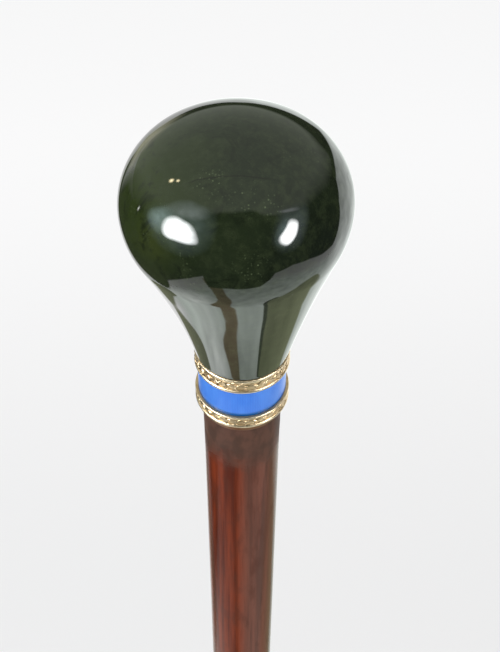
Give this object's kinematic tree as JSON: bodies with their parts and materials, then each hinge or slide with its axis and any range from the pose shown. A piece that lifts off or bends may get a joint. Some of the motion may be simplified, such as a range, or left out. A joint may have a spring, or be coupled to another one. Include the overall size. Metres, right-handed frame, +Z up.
{
  "type": "walking stick",
  "caption": "Walking stick with a bulb-shaped stone pommel, an enamelled collar between leaf-chased rims, a tapered wooden shaft and a metal ferrule.",
  "frame": {"origin": "middle of the flat end of the ferrule tip, where the stick meets the ground", "axes": "+Z up the shaft towards the pommel; -X is the side that the pommel leans to; -Y is the side that the picture shows"},
  "size_m": [0.0492, 0.0492, 0.91],
  "materials": {
    "green_stone": "polished dark green hardstone, faintly mottled",
    "gilt_metal": "old pale gilding, darker in the chasing",
    "blue_enamel": "translucent blue enamel over an engraved ground, polished",
    "lacquered_wood": "reddish brown lacquer, worn under the collar",
    "brass": "plain turned brass, a little dulled",
    "tip_steel": "dark worn steel",
    "rod_steel": "plain drawn steel",
    "cement": "matt setting cement"
  },
  "bodies": {
    "root": {"pommel": "green_stone", "pommel_bush": "brass", "bush_cement": "cement", "joining_rod": "rod_steel", "collar_plate": "gilt_metal", "collar_sleeve": "gilt_metal", "upper_rim_lip": "gilt_metal", "upper_leaf_band": "gilt_metal", "upper_rim_wire": "gilt_metal", "enamel_band": "blue_enamel", "lower_rim_lip": "gilt_metal", "lower_leaf_band": "gilt_metal", "lower_rim_wire": "gilt_metal", "shaft": "lacquered_wood", "ferrule_tube": "brass", "ferrule_tip": "tip_steel", "ferrule_pins": "brass"}
  },
  "joints": []
}
